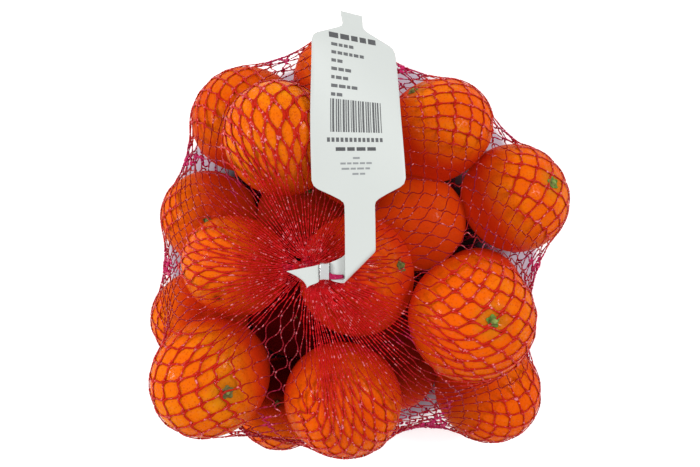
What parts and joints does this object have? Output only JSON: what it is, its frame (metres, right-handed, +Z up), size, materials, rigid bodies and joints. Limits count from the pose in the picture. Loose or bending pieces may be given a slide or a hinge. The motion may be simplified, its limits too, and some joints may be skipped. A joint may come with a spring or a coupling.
{
  "type": "net of mandarins",
  "caption": "Knitted plastic net drawn tight over a heap of mandarins, its neck gathered in a metal clip that also holds a folded plastic strap tag.",
  "frame": {"origin": "on the floor, under the middle of the filled net", "axes": "+Z up, +Y towards the free end of the tag, +X the way the neck runs through its clip"},
  "size_m": [0.2503, 0.2522, 0.1046],
  "materials": {
    "net": "knitted red plastic strands, glossy, over orange fruit",
    "tag": "smooth pale grey-white plastic sheet",
    "clip": "bright bent aluminium band",
    "peel": "waxy orange citrus peel with fine pores",
    "stem": "dry green to brown calyx",
    "print": "flat dark ink"
  },
  "bodies": {
    "root": {"filled_net": "net", "label_tag": "tag", "neck_clip": "clip", "base_clip": "clip"}
  },
  "joints": []
}
